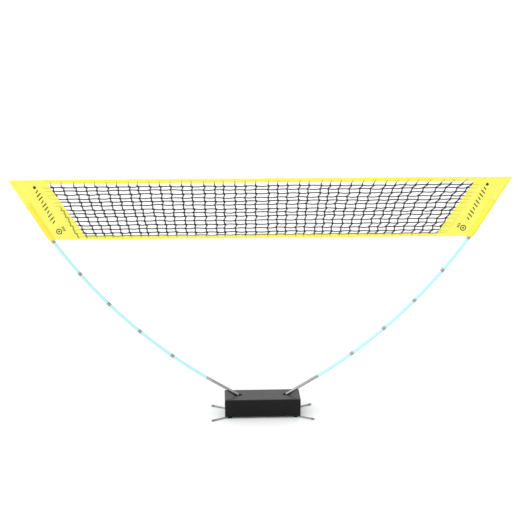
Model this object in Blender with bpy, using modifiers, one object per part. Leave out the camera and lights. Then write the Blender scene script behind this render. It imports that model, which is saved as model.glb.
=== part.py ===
"""Portable volleyball net: a storage case that stands on four swing-out feet, two bowed poles and a 3 m net.

Metres, +Z up. The origin is on the ground under the middle of the case, +X runs along the net
and -Y is the side of the case's lid. Everything on the right-hand pole is laid out once, in the
plane y = 0, and the left-hand side is the same pieces on an empty turned half round.
"""

import bmesh
import bpy
from math import atan2, cos, pi, radians, sin, tan
from mathutils import Vector

# ---------------------------------------------------------------- driving dimensions
NET_HEIGHT = 1.500  # top edge of the net above the ground
NET_HALF_TOP = 1.500  # half the net's length along its top edge
NET_BOTTOM = 1.135  # bottom edge of the net above the ground
NET_HALF_BOTTOM = 1.281  # half its length along the bottom edge
WINDOW_HALF_TOP = 1.272  # where the open mesh starts, just under the top band
WINDOW_HALF_BOTTOM = 1.057  # and just over the bottom band
TOP_BAND = 0.024
BOTTOM_BAND = 0.020
BAND_THICK = 0.003
PANEL_THICK = 0.0024
MESH_THICK = 0.002

CASE_LENGTH = 0.470
CASE_DEPTH = 0.172
CASE_TOP = 0.125
CASE_BOTTOM = 0.0125
CASE_WALL = 0.0035
CASE_ROUND = 0.004

ROD_RADIUS = 0.009
ROD_ANGLE = radians(31.2)
ROD_CROSSES_TOP = 0.149  # x where the rod's axis passes through the case's top face
ROD_ABOVE_CASE = 0.2326  # length of rod from there to the first tube
TUBE_RADIUS = 0.010
TUBE_WALL = 0.0025
TUBE_COUNT = 6
TUBE_PITCH = 0.2545
BOW_START = radians(32.5)  # slope of the bow where it leaves the rod
BOW_PER_TUBE = radians(4.7)  # each tube bends this much under the net's pull
FERRULE_RADIUS = 0.0109
FERRULE_LENGTH = 0.023

FOOT_PIVOT = Vector((0.206, 0.062))
FOOT_LENGTH = 0.1215
FOOT_SPREAD = radians(28)  # from the X axis
FOOT_HEIGHT = 0.0060  # of the bar's axis above the ground
FOOT_RADIUS = 0.0048
BAR_START = 0.0078  # the bar's inner end, from the screw's axis
HUB_RADIUS = 0.016
HUB_BOTTOM = 0.0005
HUB_RIM = 0.0012  # the chamfer under the knuckle
BOOT_RADIUS = 0.0060
BOOT_OVERLAP = 0.017  # how far the boot covers the bar
BOOT_NOSE = 0.0045  # rubber beyond the bar's end

GAP = 0.0003
ROUND_SIDES = 16

# ---------------------------------------------------------------- what follows from them
BOW_CURVATURE = BOW_PER_TUBE / TUBE_PITCH
ROD_DIRECTION = Vector((cos(ROD_ANGLE), 0, sin(ROD_ANGLE)))
ROD_ENTRY = Vector((ROD_CROSSES_TOP, 0, CASE_TOP))
BOW_FOOT = ROD_ENTRY + ROD_DIRECTION * ROD_ABOVE_CASE
EDGE_ANGLE = atan2(NET_HEIGHT - NET_BOTTOM, NET_HALF_TOP - NET_HALF_BOTTOM)
WINDOW_LOW = NET_BOTTOM + BOTTOM_BAND
WINDOW_HIGH = NET_HEIGHT - TOP_BAND
WINDOW_LEAN = (WINDOW_HALF_TOP - WINDOW_HALF_BOTTOM) / (WINDOW_HIGH - WINDOW_LOW)
HALF_LENGTH = CASE_LENGTH / 2
HALF_DEPTH = CASE_DEPTH / 2

BLACK = ("case_plastic", (0.030, 0.031, 0.030), 0.45, 0.0)
BLACK_PARTS = ("latch_plastic", (0.020, 0.020, 0.021), 0.4, 0.0)
STEEL = ("polished_steel", (0.62, 0.62, 0.63), 0.22, 1.0)
ZINC = ("zinc_steel", (0.45, 0.45, 0.46), 0.35, 1.0)
CYAN = ("cyan_tube", (0.48, 0.93, 0.88), 0.35, 0.0)
YELLOW = ("yellow_fabric", (1.0, 0.93, 0.13), 0.75, 0.0)
POCKET = ("pocket_fabric", (1.0, 0.87, 0.08), 0.75, 0.0)
MESH = ("net_cord", (0.02, 0.02, 0.022), 0.7, 0.0)
RUBBER = ("foot_rubber", (0.10, 0.10, 0.10), 0.8, 0.0)
ELASTIC = ("elastic_cord", (0.85, 0.85, 0.83), 0.8, 0.0)


# ---------------------------------------------------------------- helpers
def clear_scene():
    for obj in list(bpy.data.objects):
        bpy.data.objects.remove(obj, do_unlink=True)


def collection(name):
    made = bpy.data.collections.new(name)
    bpy.context.scene.collection.children.link(made)
    return made


def material(kind):
    name, colour, roughness, metallic = kind
    found = bpy.data.materials.get(name)
    if found:
        return found
    made = bpy.data.materials.new(name)
    made.use_nodes = True
    shader = made.node_tree.nodes["Principled BSDF"]
    shader.inputs["Base Color"].default_value = (*colour, 1)
    shader.inputs["Roughness"].default_value = roughness
    shader.inputs["Metallic"].default_value = metallic
    return made


def add(name, data, kind=None, parent=None):
    """A new object of the net, or a helper that is only cut with or joined if it has no material."""
    obj = bpy.data.objects.new(name, data)
    (PARTS if kind else HELPERS).objects.link(obj)
    if kind:
        if not data.materials:
            data.materials.append(material(kind))
    else:
        obj.hide_render = True
        obj.display_type = "WIRE"
    obj.parent = parent
    return obj


def box(name, low, high, kind=None, parent=None, rounded=0.0):
    low, high = Vector(low), Vector(high)
    shape = bmesh.new()
    bmesh.ops.create_cube(shape, size=1)
    bmesh.ops.scale(shape, vec=high - low, verts=shape.verts)
    mesh = bpy.data.meshes.new(name)
    shape.to_mesh(mesh)
    shape.free()
    obj = add(name, mesh, kind, parent)
    obj.location = (low + high) / 2
    if rounded:
        bevel = obj.modifiers.new("Rounded edges", "BEVEL")
        bevel.width = rounded
        bevel.segments = 3
    return obj


def turned(name, profile, kind=None, parent=None, sides=ROUND_SIDES, ring=False):
    """A shape turned about local Z. The profile is (radius, height) points down its outer side."""
    count = len(profile)
    edges = [(i, i + 1) for i in range(count - 1)] + ([(count - 1, 0)] if ring else [])
    mesh = bpy.data.meshes.new(name)
    mesh.from_pydata([(radius, 0, height) for radius, height in profile], edges, [])
    obj = add(name, mesh, kind, parent)
    turn = obj.modifiers.new("Turn", "SCREW")
    turn.axis = "Z"
    turn.steps = turn.render_steps = sides
    turn.use_merge_vertices = True
    turn.merge_threshold = 0.00001
    return obj


def cylinder(name, radius, low, high, kind=None, parent=None, sides=ROUND_SIDES):
    return turned(name, [(0, high), (radius, high), (radius, low), (0, low)], kind, parent, sides)


def ring(name, inner, outer, low, high, kind=None, parent=None, sides=ROUND_SIDES):
    outline = [(inner, high), (outer, high), (outer, low), (inner, low)]
    return turned(name, outline, kind, parent, sides, ring=True)


def stand_along(obj, point, angle):
    """Puts local Z along the direction at this angle above +X, in the plane y = 0."""
    obj.location = point
    obj.rotation_euler = (0, pi / 2 - angle, 0)
    return obj


def outline(name, loops, thick, kind=None, parent=None):
    """A flat plate with holes: loops of (x, y) points, extruded half its thickness each way."""
    curve = bpy.data.curves.new(name, "CURVE")
    curve.dimensions = "2D"
    curve.fill_mode = "BOTH"
    curve.extrude = thick / 2
    for loop in loops:
        spline = curve.splines.new("POLY")
        spline.points.add(len(loop) - 1)
        for point, (x, y) in zip(spline.points, loop):
            point.co = (x, y, 0, 1)
        spline.use_cyclic_u = True
    return add(name, curve, kind, parent)


def upright(obj, y=0.0):
    """Stands a plate drawn in x and z up in the plane of the net."""
    obj.rotation_euler = (pi / 2, 0, 0)
    obj.location = (0, y, 0)
    return obj


def arc(centre, radius, start, end, steps):
    """Points on an arc, from angle start to angle end, both included."""
    angles = [start + (end - start) * i / steps for i in range(steps + 1)]
    return [(centre[0] + radius * cos(a), centre[1] + radius * sin(a)) for a in angles]


def made_mesh(obj):
    """The same object as a closed mesh, so that it can be cut or joined."""
    bpy.context.view_layer.update()
    graph = bpy.context.evaluated_depsgraph_get()
    mesh = bpy.data.meshes.new_from_object(obj.evaluated_get(graph))
    shape = bmesh.new()
    shape.from_mesh(mesh)
    bmesh.ops.remove_doubles(shape, verts=shape.verts, dist=0.00001)
    bmesh.ops.recalc_face_normals(shape, faces=shape.faces)
    shape.to_mesh(mesh)
    shape.free()
    name, parent, world = obj.name, obj.parent, obj.matrix_world.copy()
    home, hidden = obj.users_collection[0], obj.hide_render
    bpy.data.objects.remove(obj, do_unlink=True)
    solid = bpy.data.objects.new(name, mesh)
    home.objects.link(solid)
    solid.hide_render = hidden
    solid.display_type = "WIRE" if hidden else "TEXTURED"
    solid.parent = parent
    solid.matrix_world = world
    return solid


def combine(obj, operation, others):
    """Cuts the others out of obj, or joins them to it."""
    for other in others:
        step = obj.modifiers.new(other.name, "BOOLEAN")
        step.operation = operation
        step.object = other
    return obj


def side_empty(side):
    """The right-hand side as it is drawn, and the left-hand side turned half round."""
    empty = bpy.data.objects.new(f"{side}_side", None)
    PARTS.objects.link(empty)
    empty.rotation_euler = (0, 0, 0 if side == "right" else pi)
    return empty


# ---------------------------------------------------------------- the pole's bow
def bow(distance):
    """(point, slope angle) on the right-hand bow, this far along it from the rod's top end."""
    angle = BOW_START + BOW_CURVATURE * distance
    across = (sin(angle) - sin(BOW_START)) / BOW_CURVATURE
    up = (cos(BOW_START) - cos(angle)) / BOW_CURVATURE
    return BOW_FOOT + Vector((across, 0, up)), angle


def bow_curve(name, start, end, radius, spans, resolution, kind=None, parent=None):
    """A round bar that follows the bow between two distances along it."""
    curve = bpy.data.curves.new(name, "CURVE")
    curve.dimensions = "3D"
    curve.bevel_depth = radius
    curve.bevel_resolution = resolution
    curve.use_fill_caps = True
    spline = curve.splines.new("POLY")
    spline.points.add(spans)
    for i, point in enumerate(spline.points):
        here, _ = bow(start + (end - start) * i / spans)
        point.co = (*here, 1)
    return add(name, curve, kind, parent)


def bow_tube(name, start, end, radius, wall, kind, parent):
    """A hollow tube along the bow: the open skin of a round bar, made thick inwards."""
    tube = bow_curve(name, start, end, radius, 3, 4, kind, parent)
    tube.data.use_fill_caps = False
    skin = tube.modifiers.new("Wall", "SOLIDIFY")
    skin.thickness = wall
    skin.offset = -1
    skin.use_even_offset = True
    return tube


# ---------------------------------------------------------------- the case
RECESS_DEPTH = 0.012  # at its inner point, where the rod goes in
RECESS_APEX = 0.150
RECESS_SHOULDER = Vector((0.215, 0.077))
SOCKET_RADIUS = 0.013
SOCKET_BORE = ROD_RADIUS + 0.0004
SOCKET_LENGTH = 0.130  # its mouth stands out of the case's top as a black collar round the rod
SOCKET_FLOOR = 0.004
COLLAR_RADIUS = 0.0165
LID_THICK = 0.0044
LID_SIDE_GAP = 0.0018
LID_TOP_GAP = 0.0008
PIN_RADIUS = 0.001
PIN_BORE = 0.00125
LATCH_X = 0.135
LATCH_HALF = 0.009  # half a bolt's width
LATCH_THICK = 0.002
LATCH_FOOT = 0.0185  # the bolt's lower end when it is drawn up; it slides down 4.5 mm
LATCH_TOP = 0.052
PAD_HALF = 0.0046  # half the width of its thumb pad
PAD_LOW, PAD_HIGH = 0.0385, 0.0475
PAD_PROUD = 0.0012
STRAP_HALF = 0.014
STRAP_LOW, STRAP_HIGH = 0.026, 0.040
STRAP_DEEP = 0.0044
GROOVE_DEEP = 0.0026
SCREW_RADIUS = 0.0022
SCREW_HOLE = 0.0026
SCREW_TOP = 0.029
SCREW_HEAD = 0.0055
SCREW_HEAD_TOP = 0.0031
SCREW_HEAD_LOW = 0.0008
SCREW_HEAD_EDGE = 0.0007
INSIDE_TOP = CASE_TOP - CASE_WALL
INSIDE_BOTTOM = CASE_BOTTOM + CASE_WALL
LID_AXIS = Vector((0, -HALF_DEPTH + LID_THICK / 2, INSIDE_TOP - LID_TOP_GAP - LID_THICK / 2))
LID_BACK = -HALF_DEPTH + LID_THICK


def recess_prism(name, margin, below, above, side):
    """The chevron-shaped dip round a pole's socket: a thick plate, tilted to run out at the case's end."""
    tilt = atan2(RECESS_DEPTH, HALF_LENGTH - RECESS_APEX)
    apex = RECESS_APEX - 1.5 * margin - HALF_LENGTH
    shoulder = RECESS_SHOULDER.x - HALF_LENGTH
    half = RECESS_SHOULDER.y + margin
    points = [(apex, 0), (shoulder, -half), (0.02, -half), (0.02, half), (shoulder, half)]
    plate = outline(name, [points], above + below)
    plate.parent = side
    plate.rotation_euler = (0, -tilt, 0)
    middle = Vector((HALF_LENGTH, 0, CASE_TOP)) + Vector((-sin(tilt), 0, cos(tilt))) * (above - below) / 2
    plate.location = middle
    return made_mesh(plate)


def socket_end():
    return ROD_ENTRY - ROD_DIRECTION * SOCKET_LENGTH


def foot_corners():
    """(name, sign of x, sign of y) of the four feet. The lid is at the front, on the -Y side."""
    ends = {"left": -1, "right": 1}
    rows = {"front": -1, "back": 1}
    return [(f"{row}_{end}", ends[end], rows[row]) for row in rows for end in ends]


def case_cavity(sides):
    """What is hollow in the case, open to the front, less the bodies left standing inside it."""
    hollow = box(
        "cavity",
        (-HALF_LENGTH + CASE_WALL, -HALF_DEPTH - 0.02, INSIDE_BOTTOM),
        (HALF_LENGTH - CASE_WALL, HALF_DEPTH - CASE_WALL, INSIDE_TOP),
    )
    kept = []
    for name, side in sides.items():
        kept.append(recess_prism(f"recess_pan_{name}", 0.004, CASE_WALL, 0.03, side))
        collar = cylinder(f"collar_{name}", COLLAR_RADIUS, -0.055, 0.03, parent=side)
        kept.append(stand_along(collar, ROD_ENTRY, ROD_ANGLE))
        end = socket_end()
        rest = box(
            f"socket_rest_{name}",
            (end.x - 0.004, -0.011, CASE_BOTTOM - 0.01),
            (end.x + 0.022, 0.011, end.z + 0.006),
            parent=side,
        )
        kept.append(rest)
    for name, sign_x, sign_y in foot_corners():
        boss = cylinder(f"screw_boss_{name}", 0.008, CASE_BOTTOM - 0.01, SCREW_TOP + 0.003)
        boss.location = (sign_x * FOOT_PIVOT.x, sign_y * FOOT_PIVOT.y, 0)
        kept.append(boss)
    return combine(hollow, "DIFFERENCE", kept)


def latch_slot(name, sign_x):
    x = sign_x * LATCH_X
    half = LATCH_HALF + 2 * GAP
    return box(
        name,
        (x - half, LID_BACK - GAP, CASE_BOTTOM + 0.001),
        (x + half, LID_BACK + GROOVE_DEEP + GAP, INSIDE_BOTTOM + 0.001),
    )


def case_shell(sides):
    shell = box(
        "case_shell",
        (-HALF_LENGTH, -HALF_DEPTH, CASE_BOTTOM),
        (HALF_LENGTH, HALF_DEPTH, CASE_TOP),
        BLACK,
        rounded=CASE_ROUND,
    )
    combine(shell, "DIFFERENCE", [case_cavity(sides)])
    cuts = []
    for name, sign_x, sign_y in foot_corners():
        hole = cylinder(f"screw_hole_{name}", SCREW_HOLE, 0, SCREW_TOP + GAP, sides=12)
        hole.location = (sign_x * FOOT_PIVOT.x, sign_y * FOOT_PIVOT.y, 0)
        cuts.append(hole)
    for name, side in sides.items():
        cuts.append(recess_prism(f"recess_{name}", 0.0, 0.0, 0.03, side))
        bore = cylinder(f"bore_{name}", SOCKET_RADIUS + GAP, 0, SOCKET_LENGTH + 0.08, parent=side)
        cuts.append(stand_along(bore, socket_end() - ROD_DIRECTION * GAP, ROD_ANGLE))
    pin_hole = cylinder("pin_hole", PIN_BORE, -HALF_LENGTH + 0.001, HALF_LENGTH - 0.001, sides=12)
    pin_hole.rotation_euler = (0, pi / 2, 0)
    pin_hole.location = LID_AXIS
    cuts += [pin_hole, latch_slot("slot_left", -1), latch_slot("slot_right", 1)]
    combine(shell, "DIFFERENCE", cuts)
    return shell


def case_lid():
    """The front lid: a plate whose round top edge turns on a long pin."""
    half = HALF_LENGTH - CASE_WALL - LID_SIDE_GAP
    low = INSIDE_BOTTOM + LID_SIDE_GAP - LID_AXIS.z
    nose = LID_THICK / 2
    edge = [(-nose, low)] + [(nose, low)] + arc((0, 0), nose, 0, pi, 8)
    bore = arc((0, 0), PIN_BORE, 0, 2 * pi * 11 / 12, 11)
    lid = outline("case_lid", [edge, bore], 2 * half, BLACK)
    lid.rotation_euler = (pi / 2, 0, pi / 2)
    lid.location = LID_AXIS
    lid = made_mesh(lid)
    straps, cuts = [], []
    for name, sign_x in (("left", -1), ("right", 1)):
        x = sign_x * LATCH_X
        strap = box(
            f"strap_{name}",
            (x - STRAP_HALF, LID_BACK - 0.001, STRAP_LOW),
            (x + STRAP_HALF, LID_BACK + STRAP_DEEP, STRAP_HIGH),
        )
        groove = box(
            f"groove_{name}",
            (x - LATCH_HALF - 0.0004, LID_BACK, STRAP_LOW - 0.006),
            (x + LATCH_HALF + 0.0004, LID_BACK + GROOVE_DEEP, STRAP_HIGH + 0.010),
        )
        window = box(
            f"thumb_window_{name}",
            (x - PAD_HALF - 0.0004, -HALF_DEPTH - 0.01, PAD_LOW - 0.0075),
            (x + PAD_HALF + 0.0004, LID_BACK + 0.001, PAD_HIGH + 0.001),
        )
        straps.append(strap)
        cuts += [groove, window]
    combine(lid, "UNION", straps)
    combine(lid, "DIFFERENCE", cuts)
    pin_half = HALF_LENGTH - 0.0014
    pin = cylinder("lid_hinge_pin", PIN_RADIUS, -pin_half, pin_half, ZINC, sides=12)
    pin.rotation_euler = (0, pi / 2, 0)
    pin.location = LID_AXIS


def latch(name, sign_x):
    """A bolt that slides between the lid and its strap. It is drawn up at rest, clear of the floor's slot."""
    x = sign_x * LATCH_X
    front = LID_BACK + GAP
    bolt = box(
        f"latch_bolt_{name}",
        (x - LATCH_HALF, front, LATCH_FOOT),
        (x + LATCH_HALF, front + LATCH_THICK, LATCH_TOP),
        BLACK_PARTS,
    )
    pad = box(
        f"thumb_pad_{name}",
        (x - PAD_HALF, -HALF_DEPTH - PAD_PROUD, PAD_LOW),
        (x + PAD_HALF, front + LATCH_THICK / 2, PAD_HIGH),
    )
    combine(bolt, "UNION", [pad])


def lay_along(obj):
    """Turns a foot's piece from upright to along its bar."""
    obj.rotation_euler = (0, pi / 2, 0)
    obj.location = (0, 0, FOOT_HEIGHT)
    return obj


def knuckle(name, frame):
    """The black hub under the case's corner, bored for the bar and counterbored for the screw."""
    hub_top = CASE_BOTTOM - GAP
    profile = [
        (0, hub_top),
        (HUB_RADIUS, hub_top),
        (HUB_RADIUS, HUB_BOTTOM + HUB_RIM),
        (HUB_RADIUS - HUB_RIM, HUB_BOTTOM),
        (0, HUB_BOTTOM),
    ]
    hub = turned(f"foot_hub_{name}", profile, BLACK, frame, sides=24)
    past = 0.01  # a cutter's length outside the hub
    hole_end = HUB_RADIUS + past
    bar_hole = cylinder(f"bar_hole_{name}", FOOT_RADIUS + GAP, BAR_START - GAP, hole_end, parent=frame)
    lay_along(bar_hole)
    screw_way = cylinder(f"screw_way_{name}", SCREW_HOLE, -past, hub_top + past, parent=frame, sides=12)
    head_way = cylinder(f"head_way_{name}", SCREW_HEAD + GAP, -past, SCREW_HEAD_TOP + GAP, parent=frame)
    combine(hub, "DIFFERENCE", [bar_hole, screw_way, head_way])


def boot(name, frame):
    """The rubber cap on the bar's outer end, with a flat sole under it."""
    mouth, nose = FOOT_LENGTH - BOOT_OVERLAP, FOOT_LENGTH + BOOT_NOSE
    lip, blunt, swell = 0.0004, 0.0012, 0.006
    profile = [
        (0, nose),
        (BOOT_RADIUS - 2 * blunt, nose),
        (BOOT_RADIUS - blunt, nose - blunt),
        (BOOT_RADIUS - lip, nose - 2 * blunt),
        (BOOT_RADIUS, mouth + swell),
        (BOOT_RADIUS - lip, mouth),
        (0, mouth),
    ]
    cap = lay_along(turned(f"foot_boot_{name}", profile, RUBBER, frame))
    half_sole, sole_top = 0.004, 0.0035
    sole = box(
        f"sole_{name}",
        (mouth + blunt, -half_sole, 0),
        (nose - 2 * blunt, half_sole, sole_top),
        parent=frame,
    )
    bar_way = cylinder(f"bar_way_{name}", FOOT_RADIUS + GAP, mouth / 2, FOOT_LENGTH + GAP, parent=frame)
    lay_along(bar_way)
    combine(cap, "UNION", [sole])
    combine(cap, "DIFFERENCE", [bar_way])


def foot(name, sign_x, sign_y):
    """A steel bar with a rubber boot, in a knuckle that swings on a screw under the case's corner."""
    frame = bpy.data.objects.new(f"foot_frame_{name}", None)
    PARTS.objects.link(frame)
    frame.location = (sign_x * FOOT_PIVOT.x, sign_y * FOOT_PIVOT.y, 0)
    frame.rotation_euler = (0, 0, atan2(sign_y * sin(FOOT_SPREAD), sign_x * cos(FOOT_SPREAD)))
    knuckle(name, frame)
    lay_along(cylinder(f"foot_leg_{name}", FOOT_RADIUS, BAR_START, FOOT_LENGTH, ZINC, frame))
    boot(name, frame)
    profile = [
        (0, SCREW_TOP),
        (SCREW_RADIUS, SCREW_TOP),
        (SCREW_RADIUS, SCREW_HEAD_TOP),
        (SCREW_HEAD, SCREW_HEAD_TOP),
        (SCREW_HEAD, SCREW_HEAD_LOW + SCREW_HEAD_EDGE),
        (SCREW_HEAD - SCREW_HEAD_EDGE, SCREW_HEAD_LOW),
        (0, SCREW_HEAD_LOW),
    ]
    turned(f"foot_screw_{name}", profile, ZINC, frame)


# ---------------------------------------------------------------- a pole
SPIGOT_RADIUS = 0.0062
SPIGOT_LENGTH = 0.024
ROD_BORE = 0.0042
TIP_ROD_RADIUS = 0.003
PLUG_DEPTH = 0.018
CORD_RADIUS = 0.0015
POCKET_INNER = FERRULE_RADIUS + 0.0005
POCKET_OUTER = POCKET_INNER + 0.0012
BOW_LENGTH = TUBE_COUNT * TUBE_PITCH


def tip():
    """Where the bow ends, inside the net's pocket."""
    return bow(BOW_LENGTH)[0]


def tip_rod_length():
    """The thin tip rod runs up the slanted hem and stops in the top band."""
    return (NET_HEIGHT - 0.010 - tip().z) / sin(EDGE_ANGLE)


def socket(name, side):
    """The plastic cup that the rod stands in, closed at its lower end."""
    bevel = 0.0015
    profile = [
        (0, SOCKET_FLOOR),
        (SOCKET_BORE, SOCKET_FLOOR),
        (SOCKET_BORE, SOCKET_LENGTH - bevel),
        (SOCKET_BORE + bevel / 2, SOCKET_LENGTH),
        (SOCKET_RADIUS - bevel, SOCKET_LENGTH),
        (SOCKET_RADIUS, SOCKET_LENGTH - bevel),
        (SOCKET_RADIUS, 0),
        (0, 0),
    ]
    cup = turned(f"pole_socket_{name}", profile, BLACK_PARTS, side)
    return stand_along(cup, socket_end(), ROD_ANGLE)


def rod(name, side):
    """The steel rod, a tube with a narrower neck that the first section slides on to."""
    inside = SOCKET_LENGTH - SOCKET_FLOOR - 0.001
    top, neck = ROD_ABOVE_CASE, ROD_ABOVE_CASE + SPIGOT_LENGTH
    profile = [
        (ROD_BORE, neck),
        (SPIGOT_RADIUS, neck),
        (SPIGOT_RADIUS, top),
        (ROD_RADIUS - 0.0006, top),
        (ROD_RADIUS, top - 0.0008),
        (ROD_RADIUS, -inside),
        (ROD_BORE, -inside),
    ]
    bar = turned(f"pole_rod_{name}", profile, STEEL, side, ring=True)
    return stand_along(bar, ROD_ENTRY, ROD_ANGLE)


def sections(name, side):
    for i in range(TUBE_COUNT):
        start = i * TUBE_PITCH + (0.0012 if i == 0 else 0.0005)
        end = (i + 1) * TUBE_PITCH - 0.0005
        bow_tube(f"pole_tube_{name}_{i + 1}", start, end, TUBE_RADIUS, TUBE_WALL, CYAN, side)
    for i in range(1, TUBE_COUNT):
        point, angle = bow(i * TUBE_PITCH)
        half = FERRULE_LENGTH / 2
        inner = TUBE_RADIUS + GAP
        sleeve = ring(f"pole_ferrule_{name}_{i}", inner, FERRULE_RADIUS, -half, half, STEEL, side)
        stand_along(sleeve, point, angle)


def pole_end(name, side):
    """The plug that closes the last tube, and the thin rod it carries up to the net's top corner."""
    point, angle = bow(BOW_LENGTH)
    bore = TUBE_RADIUS - TUBE_WALL - 3 * GAP
    lip = TUBE_RADIUS - 0.0004
    head = [(0, 0.004), (lip, 0.004), (lip, GAP)]
    stem = [(bore, GAP), (bore, -PLUG_DEPTH), (0, -PLUG_DEPTH)]
    plug = turned(f"pole_plug_{name}", head + stem, BLACK_PARTS, side)
    stand_along(plug, point, angle)
    hole = cylinder(f"plug_hole_{name}", TIP_ROD_RADIUS + GAP, -0.012, 0.02, parent=side, sides=12)
    cord_hole = cylinder(f"cord_hole_{name}", CORD_RADIUS + GAP, -0.03, 0, parent=side, sides=12)
    stand_along(hole, point, EDGE_ANGLE)
    stand_along(cord_hole, point, angle)
    combine(plug, "DIFFERENCE", [hole, cord_hole])
    length = tip_rod_length()
    thin = cylinder(f"pole_tip_rod_{name}", TIP_ROD_RADIUS, -0.0115, length, CYAN, side, sides=12)
    stand_along(thin, point, EDGE_ANGLE)


def shock_cord(name, side):
    """The elastic cord that runs up the hollow pole from inside the rod's neck to the plug."""
    curve = bpy.data.curves.new(f"shock_cord_{name}", "CURVE")
    curve.dimensions = "3D"
    curve.bevel_depth = CORD_RADIUS
    curve.bevel_resolution = 2
    curve.use_fill_caps = True
    in_rod = [BOW_FOOT - ROD_DIRECTION * back for back in (0.060, 0.030)]
    steps = 4 * TUBE_COUNT
    last = BOW_LENGTH - PLUG_DEPTH + 0.003
    in_bow = [bow(SPIGOT_LENGTH + (last - SPIGOT_LENGTH) * i / steps)[0] for i in range(steps + 1)]
    points = in_rod + in_bow
    spline = curve.splines.new("POLY")
    spline.points.add(len(points) - 1)
    for place, point in zip(spline.points, points):
        place.co = (*point, 1)
    return add(curve.name, curve, ELASTIC, side)


# ---------------------------------------------------------------- the net
def edge_x(height):
    """x of the net's slanted outer edge at a height."""
    return NET_HALF_BOTTOM + (height - NET_BOTTOM) / tan(EDGE_ANGLE)


def window_x(height):
    """x where the end panel stops and the open mesh begins."""
    return WINDOW_HALF_BOTTOM + (height - WINDOW_LOW) * WINDOW_LEAN


def between_panels(name, low, high, thick, kind):
    """A strip of the net from one end panel to the other."""
    left = [(-window_x(height) + GAP, height) for height in (high, low)]
    right = [(window_x(height) - GAP, height) for height in (low, high)]
    return upright(outline(name, [left + right], thick, kind))


def pocket_range():
    """The distances along the bow where the pocket starts, at the net's bottom edge, and ends."""
    point, angle = bow((TUBE_COUNT - 1) * TUBE_PITCH)
    start = (TUBE_COUNT - 1) * TUBE_PITCH + (NET_BOTTOM - point.z) / sin(angle)
    return start + 0.004, BOW_LENGTH + 0.008


def end_panel(name, side):
    """The yellow fabric at the end of the net, with the pole's pocket let into its outer hem."""
    corners = [
        (window_x(NET_BOTTOM), NET_BOTTOM),
        (edge_x(NET_BOTTOM), NET_BOTTOM),
        (edge_x(NET_HEIGHT), NET_HEIGHT),
        (window_x(NET_HEIGHT), NET_HEIGHT),
    ]
    panel = upright(outline(f"net_end_panel_{name}", [corners], PANEL_THICK, YELLOW, side))
    panel = made_mesh(panel)
    start, end = pocket_range()
    room = made_mesh(bow_curve(f"pocket_room_{name}", start - 0.05, end + GAP, POCKET_OUTER + GAP, 5, 4))
    room.matrix_world = side.matrix_world @ room.matrix_world
    point = tip()
    length = tip_rod_length()
    hem_radius = TIP_ROD_RADIUS + 0.0016
    hem = cylinder(f"hem_tunnel_{name}", hem_radius, 0.004, length + 0.004, parent=side, sides=12)
    bore = cylinder(f"hem_bore_{name}", TIP_ROD_RADIUS + GAP, -0.02, length + 0.001, parent=side, sides=12)
    stand_along(hem, point, EDGE_ANGLE)
    stand_along(bore, point, EDGE_ANGLE)
    combine(panel, "UNION", [hem])
    combine(panel, "DIFFERENCE", [room, bore])
    bow_tube(
        f"net_pocket_{name}", start, end, POCKET_OUTER, POCKET_OUTER - POCKET_INNER, POCKET, side
    )


def net(sides):
    between_panels("net_top_band", WINDOW_HIGH, NET_HEIGHT, BAND_THICK, YELLOW)
    between_panels("net_bottom_band", NET_BOTTOM, WINDOW_LOW, BAND_THICK, YELLOW)
    between_panels("net_mesh", WINDOW_LOW + GAP, WINDOW_HIGH - GAP, MESH_THICK, MESH)
    for name, side in sides.items():
        end_panel(name, side)


clear_scene()
PARTS = collection("volleyball_net")
HELPERS = collection("cutters")
SIDES = {name: side_empty(name) for name in ("left", "right")}
bpy.context.view_layer.update()
case_shell(SIDES)
case_lid()
for latch_name, latch_sign in (("left", -1), ("right", 1)):
    latch(latch_name, latch_sign)
for foot_name, x_sign, y_sign in foot_corners():
    foot(foot_name, x_sign, y_sign)
for side_name, side_frame in SIDES.items():
    socket(side_name, side_frame)
    rod(side_name, side_frame)
    sections(side_name, side_frame)
    pole_end(side_name, side_frame)
    shock_cord(side_name, side_frame)
net(SIDES)
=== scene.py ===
"""The looks of a portable volleyball net: knotted cords, fabric, poles, the case and its feet.

Metres, in the CAD model's frame: +X along the net, -Y towards the viewer, +Z up. The right-hand
half is described, and the left-hand half mirrors it. Only the net's cords differ from side to side.
"""

from math import atan2, cos, hypot, pi, radians, sin, sqrt

import bpy
import numpy as np
from mathutils import Matrix, Vector
from mathutils.kdtree import KDTree

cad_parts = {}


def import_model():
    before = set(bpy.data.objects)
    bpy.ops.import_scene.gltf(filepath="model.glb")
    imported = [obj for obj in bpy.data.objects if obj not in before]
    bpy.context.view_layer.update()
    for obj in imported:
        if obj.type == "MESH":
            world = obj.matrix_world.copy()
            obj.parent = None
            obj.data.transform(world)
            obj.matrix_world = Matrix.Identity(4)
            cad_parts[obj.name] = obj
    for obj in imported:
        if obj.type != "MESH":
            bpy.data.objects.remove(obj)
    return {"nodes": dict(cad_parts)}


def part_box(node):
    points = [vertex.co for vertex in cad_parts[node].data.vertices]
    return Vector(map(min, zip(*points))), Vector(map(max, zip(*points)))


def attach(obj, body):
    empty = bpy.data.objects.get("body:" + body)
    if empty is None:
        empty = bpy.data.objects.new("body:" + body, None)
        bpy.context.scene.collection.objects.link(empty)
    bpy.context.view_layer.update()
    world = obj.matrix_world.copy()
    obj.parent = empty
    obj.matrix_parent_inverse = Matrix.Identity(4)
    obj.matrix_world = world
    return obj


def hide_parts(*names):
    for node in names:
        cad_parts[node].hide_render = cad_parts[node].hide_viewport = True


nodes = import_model()["nodes"]
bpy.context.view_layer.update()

# ---- measures taken from the frame
BAND_LOW, BAND_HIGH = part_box("net_top_band")
HEM_LOW, HEM_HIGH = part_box("net_bottom_band")
PANEL_LOW, PANEL_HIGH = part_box("net_end_panel_right")
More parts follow.
